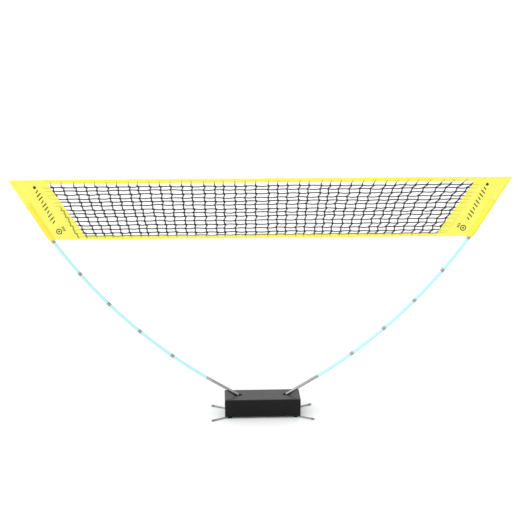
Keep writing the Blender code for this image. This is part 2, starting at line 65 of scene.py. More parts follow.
NET_TOP, NET_BOTTOM = BAND_HIGH.z, HEM_LOW.z
WINDOW_TOP, WINDOW_BOTTOM = BAND_LOW.z, HEM_HIGH.z
NET_HEIGHT = NET_TOP - NET_BOTTOM
EDGE_TOP = PANEL_HIGH.x
WINDOW_WIDE = BAND_HIGH.x  # half the net's open length at its top edge
WINDOW_NARROW = PANEL_LOW.x  # and at its bottom edge
FERRULES = 5
TUBES = 6

def middle(node):
    """The middle of a CAD node's box."""
    low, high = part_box(node)
    return (low + high) / 2

def circle_through(a, b, c):
    """Centre and radius of the circle through three points in the plane y = 0."""
    rows = np.array([[p.x, p.z, 1.0] for p in (a, b, c)])
    squares = -(rows[:, 0] ** 2 + rows[:, 1] ** 2)
    d, e, f = np.linalg.solve(rows, squares)
    centre = Vector((-d / 2, 0, -e / 2))
    return centre, sqrt(centre.x**2 + centre.z**2 - f)

def edge_slope():
    """How far the net's outer edge goes outwards for each metre of height."""
    corners = [v.co for v in nodes["net_end_panel_right"].data.vertices]
    lowest = max(p.x for p in corners if p.z < NET_BOTTOM + 0.0005)
    return (EDGE_TOP - lowest) / NET_HEIGHT

EDGE_SLOPE = edge_slope()
WINDOW_SLOPE = (WINDOW_WIDE - WINDOW_NARROW) / NET_HEIGHT
BOW_CENTRE, BOW_RADIUS = circle_through(*[middle(f"pole_ferrule_right_{i}") for i in (1, 3, 5)])

def bow_angle(point):
    """Where a point is along the bow, as an angle about the bow's centre."""
    away = point - BOW_CENTRE
    return atan2(away.z, away.x)

FERRULE_ANGLES = [bow_angle(middle(f"pole_ferrule_right_{i}")) for i in range(1, FERRULES + 1)]
TUBE_TURN = (FERRULE_ANGLES[-1] - FERRULE_ANGLES[0]) / (FERRULES - 1)
BOW_START = FERRULE_ANGLES[0] - TUBE_TURN
BOW_END = BOW_START + TUBES * TUBE_TURN

def on_bow(angle):
    """The point of the bow at an angle about its centre."""
    x, z = BOW_CENTRE.x + BOW_RADIUS * cos(angle), BOW_CENTRE.z + BOW_RADIUS * sin(angle)
    return Vector((x, 0, z))

TIP = on_bow(BOW_END)

def edge_x(height):
    """x of the net's outer edge at a height."""
    return EDGE_TOP - (NET_TOP - height) * EDGE_SLOPE

def window_x(height):
    """x of the edge of the net's open part at a height."""
    return WINDOW_WIDE - (NET_TOP - height) * WINDOW_SLOPE

def fade(value, start, end):
    """0 before start, 1 after end, and smooth between them."""
    t = np.clip((value - start) / (end - start), 0, 1)
    return t * t * (3 - 2 * t)

# ---- camera, light and floor
def look_from(azimuth, elevation, roll, distance, target, lens):
    """A camera that looks at the target. Azimuth 0 is straight in front; angles are in degrees."""
    round_by, up_by = radians(azimuth), radians(elevation)
    back = Vector((sin(round_by) * cos(up_by), -cos(round_by) * cos(up_by), sin(up_by)))
    data = bpy.data.cameras.new("camera")
    data.lens = lens
    data.clip_end = 200
    camera = bpy.data.objects.new("camera", data)
    bpy.context.scene.collection.objects.link(camera)
    turn = back.to_track_quat("Z", "Y").to_matrix() @ Matrix.Rotation(radians(roll), 3, "Z")
    camera.matrix_world = Matrix.LocRotScale(target + back * distance, turn, None)
    bpy.context.scene.camera = camera

def soft_sun(name, toward, strength, width):
    """Light from one wide patch of the sky, the same all over the floor. Width is in degrees."""
    data = bpy.data.lights.new(name, "SUN")
    data.energy = strength
    data.angle = radians(width)
    light = bpy.data.objects.new(name, data)
    bpy.context.scene.collection.objects.link(light)
    light.rotation_euler = Vector(toward).to_track_quat("Z", "Y").to_euler()

def studio():
    """An even pale surround and one soft light from the upper left."""
    scene = bpy.context.scene
    scene.view_settings.view_transform = "Standard"
    world = bpy.data.worlds.new("studio")
    world.use_nodes = True
    surround = world.node_tree.nodes["Background"].inputs
    surround["Color"].default_value = (0.985, 0.99, 1, 1)
    surround["Strength"].default_value = 0.91
    scene.world = world
    soft_sun("overhead_left", (-0.45, -0.50, 0.75), 1.25, 75)

def floor():
    """A large plain floor, that isn't part of the object."""
    bpy.ops.mesh.primitive_plane_add(size=160)
    plane = bpy.context.object
    plane.name = "studio_floor"
    paint = Material("floor_paint", (0.93, 0.93, 0.93), 0.9)
    grain = paint.noise(900, 2)
    paint.set("Base Color", paint.mix(grain, (0.92, 0.92, 0.92), (0.94, 0.94, 0.94)))
    plane.data.materials.append(paint.data)

# ---- materials
class Material:
    """A Principled material and short ways to add pattern nodes to it."""

    def __init__(self, name, colour, roughness, metallic=0.0):
        self.data = bpy.data.materials.new(name)
        self.data.use_nodes = True
        self.tree = self.data.node_tree
        self.shader = self.tree.nodes["Principled BSDF"]
        self.set("Base Color", (*colour, 1))
        self.set("Roughness", roughness)
        self.set("Metallic", metallic)
        places = self.node("ShaderNodeTexCoord")
        self.place = places.outputs["Object"]
        self.facing = places.outputs["Normal"]
        self.normal = None

    def node(self, kind, inputs=(), **settings):
        made = self.tree.nodes.new(kind)
        for key, value in settings.items():
            setattr(made, key, value)
        for key, value in dict(inputs).items():
            self.link(value, made.inputs[key])
        return made

    def link(self, value, socket):
        """Links another node's socket to this one, or sets a plain value on it."""
        if isinstance(value, bpy.types.NodeSocket):
            self.tree.links.new(value, socket)
        elif isinstance(value, tuple) and socket.type == "RGBA" and len(value) == 3:
            socket.default_value = (*value, 1)
        else:
            socket.default_value = value

    def set(self, socket, value):
        """Sets or links one of the shader's own sockets."""
        self.link(value, self.shader.inputs[socket])

    def attribute(self, name):
        return self.node("ShaderNodeAttribute", attribute_name=name).outputs["Fac"]

    def uv(self):
        return self.node("ShaderNodeUVMap", uv_map="UVMap").outputs["UV"]

    def stretched(self, scale, vector=None):
        """The place, scaled by a different factor along each axis."""
        inputs = {"Vector": vector or self.place, "Scale": scale}
        return self.node("ShaderNodeMapping", inputs).outputs["Vector"]

    def noise(self, scale, detail=3, vector=None, roughness=0.5):
        inputs = {"Vector": vector or self.place, "Scale": scale}
        inputs |= {"Detail": detail, "Roughness": roughness}
        return self.node("ShaderNodeTexNoise", inputs).outputs["Fac"]

    def wave(self, scale, direction):
        """Straight ribs, that follow each other along one axis."""
        inputs = {"Vector": self.place, "Scale": scale}
        return self.node("ShaderNodeTexWave", inputs, bands_direction=direction).outputs["Fac"]

    def math(self, operation, a, b=0.0, clamp=False):
        made = self.node("ShaderNodeMath", {0: a, 1: b}, operation=operation, use_clamp=clamp)
        return made.outputs[0]

    def ramp(self, value, low, high, start=0.0, end=1.0):
        """Goes from low to high while the value goes from start to end."""
        inputs = {"Value": value, "From Min": start, "From Max": end, "To Min": low, "To Max": high}
        return self.node("ShaderNodeMapRange", inputs).outputs["Result"]

    def mix(self, factor, a, b):
        made = self.node("ShaderNodeMix", data_type="RGBA")
        self.link(factor, made.inputs[0])
        self.link(a, made.inputs[6])
        self.link(b, made.inputs[7])
        return made.outputs[2]

    def bump(self, height, strength, distance):
        """Adds relief, on top of any that is already there."""
        inputs = {"Height": height, "Strength": strength, "Distance": distance}
        made = self.node("ShaderNodeBump", inputs)
        if self.normal:
            self.link(self.normal, made.inputs["Normal"])
        self.normal = made.outputs["Normal"]
        self.set("Normal", self.normal)

WAVES_A_METRE = 10 / pi  # ribs that a wave texture of scale 1 has in a metre

def weave(paint, pitch, strength):
    """A plain weave: two sets of threads that cross, each one thread pitch apart."""
    count = 1 / pitch / WAVES_A_METRE
    over = paint.math("MULTIPLY", paint.wave(count, "X"), paint.wave(count, "Z"))
    paint.bump(over, strength, pitch / 3)
    return over

CLOTH_SHEEN = 0.15
THREAD_PITCH = 0.0012

def fabric(name, colour, shade, pitch=THREAD_PITCH):
    """Woven cloth. The attribute "through" says where what lies behind shows through it."""
    paint = Material(name, colour, 0.8)
    paint.set("Sheen Weight", CLOTH_SHEEN)
    threads = weave(paint, pitch, 0.35)
    soft = paint.noise(9, 4)
    cloudy = paint.mix(paint.ramp(soft, 0.0, 0.55, 0.35, 0.75), colour, shade)
    woven = paint.mix(paint.ramp(threads, 0.16, 0.0), cloudy, shade)
    dark = tuple(c * 0.26 for c in shade)
    paint.set("Base Color", paint.mix(paint.attribute("through"), woven, dark))
    paint.set("Roughness", paint.ramp(threads, 0.88, 0.72))
    paint.bump(paint.noise(160, 3), 0.15, 0.0006)
    return paint.data

def tape(name, colour, shade):
    """Ribbed binding tape, with a denser woven edge."""
    paint = Material(name, colour, 0.75)
    paint.set("Sheen Weight", CLOTH_SHEEN)
    ribs = paint.wave(95, "Z")
    threads = paint.wave(240, "X")
    paint.bump(ribs, 0.25, 0.0005)
    paint.bump(threads, 0.2, 0.0003)
    cloudy = paint.mix(paint.ramp(paint.noise(6, 4), 0.0, 0.6, 0.35, 0.75), colour, shade)
    ribbed = paint.mix(paint.ramp(ribs, 0.2, 0.0), cloudy, shade)
    dark = tuple(c * 0.42 for c in shade)
    paint.set("Base Color", paint.mix(paint.attribute("through"), ribbed, dark))
    paint.set("Roughness", paint.ramp(threads, 0.8, 0.68))
    return paint.data

def cord_material(name, colour, lay=0.0028, fuzz=0.2):
    """Cord of two strands. UV.x runs along it in metres, and UV.y round it from 0 to 1."""
    paint = Material(name, colour, 0.6)
    paint.set("Sheen Weight", fuzz)
    place = paint.node("ShaderNodeSeparateXYZ", {0: paint.uv()})
    turns = paint.math("DIVIDE", place.outputs["X"], lay)
    phase = paint.math("MULTIPLY", paint.math("ADD", turns, place.outputs["Y"]), 2 * pi * 2)
    strands = paint.math("ABSOLUTE", paint.math("SINE", phase))
    paint.bump(strands, 0.6, 0.0006)
    light = tuple(min(1, c * 2.2 + 0.005) for c in colour)
    paint.set("Base Color", paint.mix(paint.ramp(strands, 0.0, 0.7), colour, light))
    paint.set("Roughness", paint.ramp(paint.noise(400, 2), 0.5, 0.75))
    return paint.data

def ink():
    """Black screen print, with the cloth's weave still showing in it."""
    paint = Material("print_ink", (0.02, 0.02, 0.018), 0.55)
    threads = weave(paint, THREAD_PITCH, 0.3)
    patchy = paint.noise(260, 3)
    worn = paint.ramp(patchy, 0.0, 0.6, 0.50, 0.95)
    paint.set("Base Color", paint.mix(worn, (0.012, 0.012, 0.009), (0.10, 0.095, 0.03)))
    paint.set("Roughness", paint.ramp(threads, 0.65, 0.45))
    return paint.data

def painted_tube():
    """Satin paint on a tube. UV.x runs along it in metres, UV.y round it."""
    colour, deeper_colour, bared = (0.47, 0.80, 0.78), (0.41, 0.76, 0.74), (0.42, 0.60, 0.59)
    paint = Material("cyan_paint", colour, 0.32)
    paint.set("Coat Weight", 0.35)
    paint.set("Coat Roughness", 0.18)
    streaks = paint.noise(40, 4, paint.stretched((0.25, 14, 1), paint.uv()))
    specks = paint.noise(1500, 2)
    wash = paint.mix(paint.ramp(streaks, 0.0, 0.8, 0.3, 0.75), colour, deeper_colour)
    rubbed = paint.ramp(paint.noise(60, 5), 0.0, 1.0, 0.66, 0.74)
    worn = paint.math("MULTIPLY", rubbed, paint.attribute("end"), clamp=True)
    paint.set("Base Color", paint.mix(worn, wash, bared))
    paint.set("Roughness", paint.ramp(specks, 0.26, 0.40))
    paint.bump(specks, 0.12, 0.0002)
    return paint.data

def bright_steel():
    """Drawn steel with fine lines along it. UV.x runs along it in metres, UV.y round it."""
    colour, roughness = (0.36, 0.36, 0.36), 0.26
    paint = Material("polished_steel", colour, roughness, 1.0)
    lines = paint.noise(14, 5, paint.stretched((4, 260, 1), paint.uv()), 0.65)
    smudge = paint.noise(35, 4)
    paint.set("Roughness", paint.ramp(lines, roughness * 0.7, roughness * 1.5, 0.3, 0.7))
    dull = tuple(c * 0.72 for c in colour)
    paint.set("Base Color", paint.mix(paint.ramp(smudge, 0.0, 0.7, 0.4, 0.75), colour, dull))
    paint.bump(lines, 0.12, 0.0002)
    return paint.data

def zinc_plate():
    """Plated steel: faint crystals, small scratches and a duller cast in patches."""
    colour, roughness = (0.36, 0.36, 0.36), 0.36
    paint = Material("zinc_plate", colour, roughness, 1.0)
    cells = paint.node("ShaderNodeTexVoronoi", {"Vector": paint.place, "Scale": 420.0})
    scratches = paint.noise(60, 6, paint.stretched((1, 9, 9)), 0.7)
    patches = paint.noise(28, 3)
    dull = tuple(c * 0.6 for c in colour)
    paint.set("Base Color", paint.mix(paint.ramp(patches, 0.0, 0.8, 0.35, 0.8), colour, dull))
    paint.set("Roughness", paint.ramp(scratches, roughness * 0.7, roughness * 1.5, 0.3, 0.75))
    paint.bump(cells.outputs["Distance"], 0.08, 0.0003)
    paint.bump(scratches, 0.12, 0.0002)
    return paint.data

def moulded_plastic(name, colour, roughness, grain=0.035, dust_and_painted_top_light=0.0):
    """Black plastic with a fine grain, paler on its rubbed edges, and with painted light that makes
    its faces looking upwards paler.
    """
    paint = Material(name, colour, roughness)
    paint.set("Specular IOR Level", 0.14)
    paint.set("Sheen Weight", 0.20)
    paint.set("Sheen Roughness", 0.26)
    fine = paint.noise(1400, 2)
    coarse = paint.noise(420, 3)
    sheen = paint.noise(14, 4)
    edge = paint.node("ShaderNodeNewGeometry").outputs["Pointiness"]
    rubbed = paint.ramp(edge, 0.0, 1.0, 0.53, 0.60)
    unevenly = paint.ramp(paint.noise(90, 4), 0.3, 1.0, 0.4, 0.6)
    patchy = paint.math("MULTIPLY", rubbed, unevenly, clamp=True)
    pale = tuple(c * 3 + 0.02 for c in colour)
    lighter = tuple(c * 1.2 for c in colour)
    body = paint.mix(paint.ramp(sheen, 0.0, 1.0, 0.35, 0.7), colour, lighter)
    # Painted light: faces that look upwards get a paler grey, in soft patches, standing in for the
    # light that falls on them from above.
    facing = paint.node("ShaderNodeSeparateXYZ", {0: paint.facing}).outputs["Z"]
    upward = paint.ramp(facing, 0.0, dust_and_painted_top_light, 0.5, 0.95)
    painted_top_light = paint.math("MULTIPLY", upward, paint.ramp(sheen, 0.8, 1.0))
    body = paint.mix(painted_top_light, body, (0.085, 0.085, 0.084))
    paint.set("Base Color", paint.mix(paint.math("MULTIPLY", patchy, 0.1), body, pale))
    paint.set("Roughness", paint.ramp(coarse, roughness - 0.02, roughness + 0.05, 0.3, 0.7))
    paint.bump(fine, grain, 0.0003)
    paint.bump(coarse, grain * 0.3, 0.0005)
    return paint.data

def rubber():
    """Grey rubber, finely pitted and dusty in patches."""
    paint = Material("grey_rubber", (0.22, 0.22, 0.22), 0.7)
    pits = paint.noise(900, 4)
    dust_and_painted_top_light = paint.ramp(paint.noise(60, 4), 0.0, 0.8, 0.4, 0.7)
    paint.set("Base Color", paint.mix(dust_and_painted_top_light, (0.20, 0.20, 0.20), (0.30, 0.295, 0.28)))
    paint.set("Roughness", paint.ramp(pits, 0.72, 0.92))
    paint.bump(pits, 0.3, 0.0004)
    return paint.data

# ---- mesh making
class Mesh:
    """Gathers vertices, faces, UVs and one number a vertex, and makes them one piece.

    With side = -1 everything is mirrored to the left-hand half of the net.
    """

    def __init__(self, side=1):
        self.side = side
        self.points, self.faces, self.uvs, self.marks = [], [], [], []
        self.count = 0

    def add(self, points, faces, uvs=None, marks=None):
        points = np.asarray(points, float)
        self.points.append(points * np.array([self.side, 1, 1]))
        self.faces += [tuple(i + self.count for i in face)[:: self.side] for face in faces]
        self.uvs.append(np.zeros((len(points), 2)) if uvs is None else uvs)
        self.marks.append(np.zeros(len(points)) if marks is None else marks)
        self.count += len(points)

    def piece(self, name, material, slot, replaced=(), mark="through"):
        """Makes the piece. It rides on the stand; mark names the attribute the numbers go to."""
        data = bpy.data.meshes.new(name)
        data.from_pydata(np.concatenate(self.points).tolist(), [], self.faces)
        data.shade_smooth()
        uv = data.uv_layers.new(name="UVMap")
        corner = np.zeros(len(data.loops), np.int32)
        data.loops.foreach_get("vertex_index", corner)
        uv.data.foreach_set("uv", np.concatenate(self.uvs)[corner].astype(np.float32).ravel())
        marks = np.concatenate(self.marks).astype(np.float32)
        if marks.any():
            data.attributes.new(mark, "FLOAT", "POINT").data.foreach_set("value", marks)
        data.set_sharp_from_angle(angle=radians(50))
        obj = bpy.data.objects.new(name, data)
        bpy.context.scene.collection.objects.link(obj)
        data.materials.append(material)
        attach(obj, "stand")
        if replaced:
            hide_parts(*replaced)
        return obj

def frames_along(path):
    """Two unit vectors across a path at each of its points, carried along without twist."""
    along = np.gradient(path, axis=0)
    along /= np.linalg.norm(along, axis=1)[:, None]
    side = np.array([0.0, 1.0, 0.0]) if abs(along[0][1]) < 0.9 else np.array([1.0, 0.0, 0.0])
    across = np.zeros_like(path)
    for i, direction in enumerate(along):
        side = side - direction * (side @ direction)
        side /= np.linalg.norm(side)
        across[i] = side
    return across, np.cross(along, across)

def lengths_along(path):
    """Distance of each point of a path from its start, measured along it."""
    steps = np.linalg.norm(np.diff(path, axis=0), axis=1)
    return np.concatenate([[0], np.cumsum(steps)])

def tube_faces(rows, sides, closed):
    """Faces between rings of points, with a face at each end unless the rings close on themselves."""
    faces = []
    for i in range(rows if closed else rows - 1):
        here, after = i * sides, (i + 1) % rows * sides
        for j in range(sides):
            k = (j + 1) % sides
            faces.append((here + j, here + k, after + k, after + j))
    if not closed:
        faces.append(tuple(range(sides))[::-1])
        faces.append(tuple((rows - 1) * sides + j for j in range(sides)))
    return faces

def sweep(mesh, path, radii, sides, marks=None):
    """A round bar of varying radius along a path, closed at both ends."""
    path = np.asarray(path, float)
    radii = np.broadcast_to(np.asarray(radii, float), (len(path),))
    one, two = frames_along(path)
    turns = np.arange(sides) / sides
    angles = 2 * pi * turns[None, :, None]
    ring = np.cos(angles) * one[:, None, :] + np.sin(angles) * two[:, None, :]
    points = (path[:, None, :] + ring * radii[:, None, None]).reshape(-1, 3)
    uvs = np.stack([np.repeat(lengths_along(path), sides), np.tile(turns, len(path))], axis=1)
    spread = None if marks is None else np.repeat(marks, sides)
    mesh.add(points, tube_faces(len(path), sides, False), uvs, spread)

def turned(mesh, start, direction, profile, sides=32, closed=False):
    """A turned shape about the line from start in a direction: profile is (distance, radius)."""
    start, direction = np.array(start, float), np.array(direction, float)
    direction /= np.linalg.norm(direction)
    one = np.array([0.0, 1.0, 0.0])
    two = np.cross(direction, one)
    angles = np.arange(sides) * 2 * pi / sides
    points, uvs = [], []
    for along, radius in profile:
        for k, angle in enumerate(angles):
            out = cos(angle) * one + sin(angle) * two
            points.append(start + direction * along + radius * out)
            uvs.append((along, k / sides))
    mesh.add(points, tube_faces(len(profile), sides, closed), uvs)

def grid_faces(rows, columns):
    """Four-cornered faces between the points of a grid."""
    faces = []
    for i in range(rows - 1):
        for j in range(columns - 1):
            a = i * columns + j
            faces.append((a, a + 1, a + columns + 1, a + columns))
    return faces

def closed_cloth(front, back, rows, columns):
    """Points and faces of a cloth with two sides: two like grids, joined round their edges."""
    size = rows * columns
    faces = grid_faces(rows, columns)
    faces += [tuple(size + i for i in face[::-1]) for face in faces]
    rim = list(range(columns))
    rim += [i * columns + columns - 1 for i in range(1, rows)]
    rim += [(rows - 1) * columns + j for j in range(columns - 2, -1, -1)]
    rim += [i * columns for i in range(rows - 2, 0, -1)]
    for a, b in zip(rim, rim[1:] + rim[:1]):
        faces.append((b, a, a + size, b + size))
    return np.concatenate([front, back]), faces

def along_path(path, at):
    """The points of a path at some distances from its start."""
    distance = lengths_along(path)
    return np.stack([np.interp(at, distance, path[:, axis]) for axis in range(3)], axis=1)

STITCH_PITCH = 0.0055
STITCH_LENGTH = 0.0036
STITCH_RADIUS = 0.0004
STITCH_ENDS = np.array([-0.5, -0.32, 0.32, 0.5]) * STITCH_LENGTH
STITCH_RISE = np.array([-0.6, 0.5, 0.5, -0.6]) * STITCH_RADIUS  # its ends dip into the cloth
STITCH_GIRTH = np.array([0.45, 1, 1, 0.45]) * STITCH_RADIUS

def stitch_row(mesh, path, outward):
    """A row of stitches along a path, each a small lozenge of thread lying on the cloth."""
    for k in range(int(lengths_along(path)[-1] / STITCH_PITCH)):
        line = along_path(path, (k + 0.5) * STITCH_PITCH + STITCH_ENDS)
        line += np.array(outward) * STITCH_RISE[:, None]
        sweep(mesh, line, STITCH_GIRTH, 5)

# ---- the knotted net
ACROSS_RADIUS = 0.0033  # of the cords along the net
DOWN_RADIUS = 0.0037  # of the cords down it
LAST_ROW_RADIUS = 0.0021  # the cord that runs along the bottom band
SEWN_RADIUS = 0.0009  # a cord down, squeezed flat inside a band
KNOT_HALF = 0.0064  # half a knot's length
KNOT_WIDTH = 0.0049  # half its width
ROWS = 13  # cords across the window, without the one along the bottom band
COLUMNS = 20  # cells from the middle to the panel
HIDDEN_COLUMNS = 1  # and on behind the panel
FIRST_CELL = 0.45  # share of a cell between the window's left-hand corner and the first cord down
NET_PLANE = 0.0044  # y of the cords, just behind the panels
UNEVEN = 0.13  # how much the gaps between rows differ, as a share of a gap
IN_BAND = 0.008  # how far the cords down reach into the bands
ABOVE_BAND = 0.0024  # height of the last row over the bottom band
WIDER_RIGHT = 0.045  # how much wider the cells grow towards the right-hand end
SWAY = 0.0052  # the knots of each row stand aside, to the left and to the right by turns
JOG = 0.0072  # step aside of a cord down within every second knot
KNOT_FORWARD = 0.0006  # the knots lie a little in front of the net's plane
SAG, DRAWN_UP = 0.0026, 0.0010  # of a cord across between two knots, by turns
POINTS_A_GAP = 3  # points of a drawn curve from one of its set points to the next
CORD_SIDES = 7
rng = np.random.default_rng(11)

def sewn(z):
    """0 in the open net and 1 inside a band."""
    in_top = fade(z, WINDOW_TOP - 0.006, WINDOW_TOP - 0.001)
    return in_top + fade(-z, -WINDOW_BOTTOM - 0.005, -WINDOW_BOTTOM - 0.001)

def set_back(x, z):
    """How far the net lies behind its plane: at the end panels it is sewn to their backs."""
    past = np.abs(x) - window_x(z)
    return (0.0030 * fade(past, -0.030, -0.002) + 0.0028 * fade(past, 0.0, 0.030)) * (1 - sewn(z))

def drawn_in(share, depth):
    """How far in a cord down has come by some depth, as a share of the window edge's whole slant.

    The net hangs straighter at its left-hand end, and is drawn in early at its right-hand end.
    """
    most = np.where(share < 0, 0.70, 1.01)
    spread = np.where(share < 0, 1.8, 1.3)
    bend = np.where(share < 0, 1.25, 0.75)
    return np.sign(share) * most * np.abs(share) ** spread * depth**bend

def knot_places():
    """x and z of every crossing, by row from the top and by column from the left."""
    gaps = np.array([0.90] + [1.0] * (ROWS - 1) + [0.72])
    gaps[1:-1] += rng.uniform(-UNEVEN, UNEVEN, ROWS - 1)
    open_height = WINDOW_TOP - WINDOW_BOTTOM - ABOVE_BAND
    heights = WINDOW_TOP - np.cumsum(gaps) / gaps.sum() * open_height
    heights = np.concatenate([[WINDOW_TOP + IN_BAND], heights, [WINDOW_BOTTOM - IN_BAND]])
    last = COLUMNS + HIDDEN_COLUMNS
    share = (np.arange(-last, last + 1) + FIRST_CELL) / COLUMNS
    share = share * (1 + WIDER_RIGHT * np.maximum(share, 0) ** 2)
    share = share + rng.uniform(-0.006, 0.006, len(share))
    wide, narrow = window_x(heights[0]), window_x(heights[-1])
    depth = (heights[0] - heights) / (heights[0] - heights[-1])
    x = share[None, :] * wide - drawn_in(share[None, :], depth[:, None]) * (wide - narrow)
    by_turns = np.where(np.arange(len(heights)) % 2, 1.0, -1.0)
    by_turns[[0, -1]] = 0
    more_right = 0.55 + 0.45 * share[None, :]
    x = x + by_turns[:, None] * SWAY * more_right + rng.uniform(-0.0018, 0.0018, x.shape)
    loose = np.ones(len(heights))
    loose[[0, -1, -2]] = 0.2
    z = heights[:, None] + loose[:, None] * rng.uniform(-0.0016, 0.0016, x.shape)
    z = z + 0.0012 * np.sin(share * 9)[None, :] * loose[:, None]
    return x, z

def smooth_through(points):
    """A smooth curve through the points: a Catmull-Rom spline."""
    points = np.asarray(points, float)
    padded = np.concatenate([[2 * points[0] - points[1]], points, [2 * points[-1] - points[-2]]])
    curve = []
    for i in range(1, len(padded) - 2):
        a, b, c, d = padded[i - 1 : i + 3]
        for k in range(POINTS_A_GAP):
            t = k / POINTS_A_GAP
            bent = (2 * a - 5 * b + 4 * c - d) * t * t + (3 * b - a - 3 * c + d) * t**3
            curve.append((2 * b + (c - a) * t + bent) / 2)
    curve.append(points[-1])
    return np.array(curve)

def cord_across(x, z, row):
    """One cord along the net. Between two knots it sags, or is drawn up by the row above."""
    points = []
    for j in range(len(x) - 1):
        points.append((x[j], NET_PLANE, z[j]))
        drop = SAG if (row + j) % 2 else -DRAWN_UP
        drop += rng.uniform(-0.0008, 0.0008)
        between = (z[j] + z[j + 1]) / 2
        points.append(((x[j] + x[j + 1]) / 2, NET_PLANE + 0.0004, between - drop))
    points.append((x[-1], NET_PLANE, z[-1]))
    return smooth_through(points)

def jog_share(x):
    """What share of the jog a cord takes: all at the left-hand end, little at the right."""
    return 0.55 - 0.45 * x / WINDOW_WIDE

def cord_down(x, z):
    """One cord down the net. It enters every second knot on one side and leaves on the other."""
    jog = JOG * jog_share(x.mean())
    points = [(x[0], NET_PLANE, z[0])]
    half_knot = 0.0018
    for i in range(1, len(x) - 1):
        aside = jog if i % 2 else 0.0006
        points.append((x[i] - aside, NET_PLANE - KNOT_FORWARD, z[i] + half_knot))
        points.append((x[i] + aside, NET_PLANE - KNOT_FORWARD, z[i] - half_knot))
        middle_x = (x[i] + aside + x[i + 1]) / 2
        points.append((middle_x, NET_PLANE + 0.0002, (z[i] + z[i + 1]) / 2))
    points.append((x[-1], NET_PLANE, z[-1]))
    return smooth_through(points)

def knot(mesh, x, z, lean):
    """A netting knot: a short thick roll along the cord down, and a loop that grips it."""
    direction = np.array([lean, 0, -1.0])
    direction /= np.linalg.norm(direction)
    centre = np.array([x, NET_PLANE - KNOT_FORWARD + set_back(x, z), z])
    at = np.array([-1, -0.75, -0.25, 0.25, 0.75, 1]) * KNOT_HALF
    radii = np.array([0.55, 0.86, 1.0, 1.0, 0.86, 0.55]) * KNOT_WIDTH
    sweep(mesh, centre + at[:, None] * direction, radii, CORD_SIDES)
    loop_radius, loop_rise = KNOT_WIDTH + 0.0002, 0.0017
    angles = np.linspace(0, 2 * pi, 9)
    over = np.array([direction[2], 0, -direction[0]])
    loop = centre + np.cos(angles)[:, None] * over * loop_radius
    loop = loop + np.sin(angles)[:, None] * np.array([0, 1.0, 0]) * loop_radius
    loop = loop + (angles / pi - 1)[:, None] * direction * loop_rise
    sweep(mesh, loop, ACROSS_RADIUS * 0.75, 5)

def dense(path):
    """The same path with a point every millimetre."""
    return along_path(path, np.arange(0, lengths_along(path)[-1], 0.001))

def net_cords():
    """The net's cords and knots. Returns where those across and those down lie, as points."""
    x, z = knot_places()
    across, down, knots = Mesh(), Mesh(), Mesh()
    crossings = range(1, x.shape[0] - 1)
    paths_across = [cord_across(x[i], z[i], i) for i in crossings]
    paths_down = [cord_down(x[:, j], z[:, j]) for j in range(x.shape[1])]
    for path in paths_across + paths_down:
        path[:, 1] += set_back(path[:, 0], path[:, 2])
    for path in paths_across[:-1]:
        sweep(across, path, ACROSS_RADIUS, CORD_SIDES)
    sweep(across, paths_across[-1], LAST_ROW_RADIUS, CORD_SIDES)
    for path in paths_down:
        radii = DOWN_RADIUS + (SEWN_RADIUS - DOWN_RADIUS) * sewn(path[:, 2])
        sweep(down, path, radii, CORD_SIDES)
    for i in crossings[:-1]:
        for j in range(x.shape[1]):
            lean = (x[i + 1, j] - x[i - 1, j]) / (z[i - 1, j] - z[i + 1, j])
            aslant = 1.6 * jog_share(x[i, j]) if i % 2 else 0.1
            knot(knots, x[i, j], z[i, j], lean + aslant)
    material = cord_material("black_net_cord", (0.004, 0.004, 0.005), fuzz=0.05)
    across.piece("net_cords_across", material, "net_cord", ["net_mesh"])
    down.piece("net_cords_down", material, "net_cord", ["net_mesh"])
    knots.piece("net_knots", material, "net_cord", ["net_mesh"])
    return [np.concatenate([dense(path) for path in paths]) for paths in (paths_across, paths_down)]

# ---- the end panels
CLOTH = 0.0010  # thickness
POCKET_RADIUS = 0.0123  # of the cloth's arch over the pole
POCKET_SEAM = 0.0165  # of the seams beside it, from the pole's axis
TUNNEL_RADIUS = 0.0044  # the same for the thin tip rod
TUNNEL_SEAM = 0.0085
HEM_WIDTH = 0.0125
HEM_STEP = 0.0006  # the hem's extra thickness
MARK_REACH = 0.0044  # how far from a cord it still shows through the cloth
LAST_CORD_REACH = 0.0068  # and the same for the last cord down, that lies close against it
ACROSS_SHOWS = 0.38  # how strongly the cords across show through a panel
LAST_CORD_SHOWS = {"left": 1.0, "right": 0.15}  # and the last cord down
TIP_ROD_UP = Vector((EDGE_SLOPE, 0, 1)).normalized()
TIP_ROD_LENGTH = (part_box("pole_tip_rod_right")[1].z - TIP.z) / TIP_ROD_UP.z

def wrap(away, radius, seam):
    """Height of a cloth that goes over a round bar and down to a seam on each side of it."""
    away = np.abs(away)
    turn = radius * radius / seam
    top = sqrt(radius * radius - turn * turn)
    over = np.sqrt(np.maximum(radius * radius - away * away, 0))
    down = top * (seam - away) / (seam - turn)
    return np.where(away < turn, over, np.maximum(down, 0))

def from_bow(x, z):
    """Distance outwards from the pole's bow, for points in the net's plane."""
    return np.hypot(x - BOW_CENTRE.x, z - BOW_CENTRE.z) - BOW_RADIUS

def from_tip_rod(x, z):
    """Distance outwards from the line of the thin tip rod."""
    return (x - TIP.x) * TIP_ROD_UP.z - (z - TIP.z) * TIP_ROD_UP.x

def past_tip(x, z):
    """Distance up the tip rod from the pole's end."""
    return (x - TIP.x) * TIP_ROD_UP.x + (z - TIP.z) * TIP_ROD_UP.z

def over_pole(x, z):
    """How far the cloth stands off over the pole."""
    length = 1 - fade(past_tip(x, z), 0.005, 0.013)
    return wrap(from_bow(x, z), POCKET_RADIUS, POCKET_SEAM) * length

def over_tip_rod(x, z):
    """How far it stands off over the tip rod."""
    along = past_tip(x, z)
    length = fade(along, 0.004, 0.013) * (1 - fade(along, TIP_ROD_LENGTH, TIP_ROD_LENGTH + 0.006))
    return wrap(from_tip_rod(x, z), TUNNEL_RADIUS, TUNNEL_SEAM) * length

